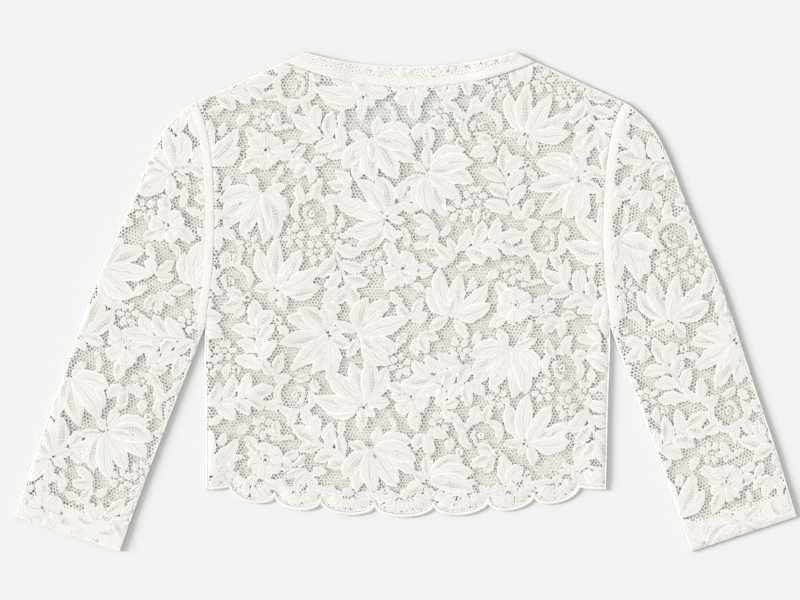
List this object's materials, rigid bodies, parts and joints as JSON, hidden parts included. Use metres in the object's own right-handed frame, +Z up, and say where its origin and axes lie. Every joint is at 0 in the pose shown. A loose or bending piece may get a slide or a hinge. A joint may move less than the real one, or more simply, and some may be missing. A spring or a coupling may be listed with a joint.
{
  "type": "lace bolero laid flat",
  "caption": "Open-front lace bolero with three-quarter sleeves, a folded neckband and a scalloped hem, lying flat on its fronts with the back up.",
  "frame": {"origin": "middle of the garment's footprint, on the surface it lies on", "axes": "+X across the garment, +Y towards the neck, +Z up out of the surface, through the back panel"},
  "size_m": [0.8196, 0.5234, 0.0049],
  "materials": {
    "lace": "matt ivory cotton-blend lace, a fine six-sided net with raised leaves and flowers",
    "tape": "smooth ivory woven tape"
  },
  "bodies": {
    "root": {"back": "lace", "front_left": "lace", "front_right": "lace", "sleeve_left": "lace", "sleeve_right": "lace", "neckband_back": "lace", "neckband_front_left": "lace", "neckband_front_right": "lace", "neck_tape": "tape", "armhole_tape_left": "tape", "armhole_tape_right": "tape"}
  },
  "joints": []
}
